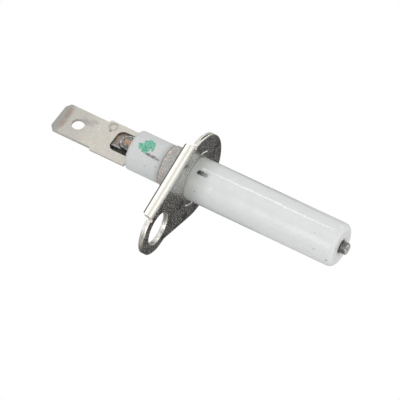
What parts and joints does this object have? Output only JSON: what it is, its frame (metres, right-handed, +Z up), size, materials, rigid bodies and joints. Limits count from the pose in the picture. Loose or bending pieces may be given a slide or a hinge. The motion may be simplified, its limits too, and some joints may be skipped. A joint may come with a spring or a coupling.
{
  "type": "ignition electrode",
  "caption": "Spark ignition electrode for a gas burner: rod in a glazed ceramic insulator, one-screw flange with a turned lip and swaged collar, push-on tab at the rear.",
  "frame": {"origin": "on the electrode's axis, in the front face of the mounting flange", "axes": "+X along the axis towards the spark tip; +Y across the push-on tab, away from the flange's screw hole; +Z up, square to the tab"},
  "size_m": [0.0438, 0.0193, 0.0131],
  "materials": {
    "glazed_ceramic": "glossy glaze in front of the flange, bare and matt behind it",
    "rod_steel": "dark drawn heat-resisting alloy",
    "cement": "rough refractory cement",
    "nickel_steel": "bright nickel plate",
    "tab_nickel": "matt nickel plate with fine mottling",
    "strap_steel": "heat-tinted steel",
    "braze": "copper braze with a silvery rim"
  },
  "bodies": {
    "root": {"ceramic_insulator": "glazed_ceramic", "electrode_rod": "rod_steel", "bore_cement": "cement", "mounting_flange": "nickel_steel", "terminal_tab": "tab_nickel", "terminal_strap": "strap_steel", "rod_braze": "braze"}
  },
  "joints": []
}
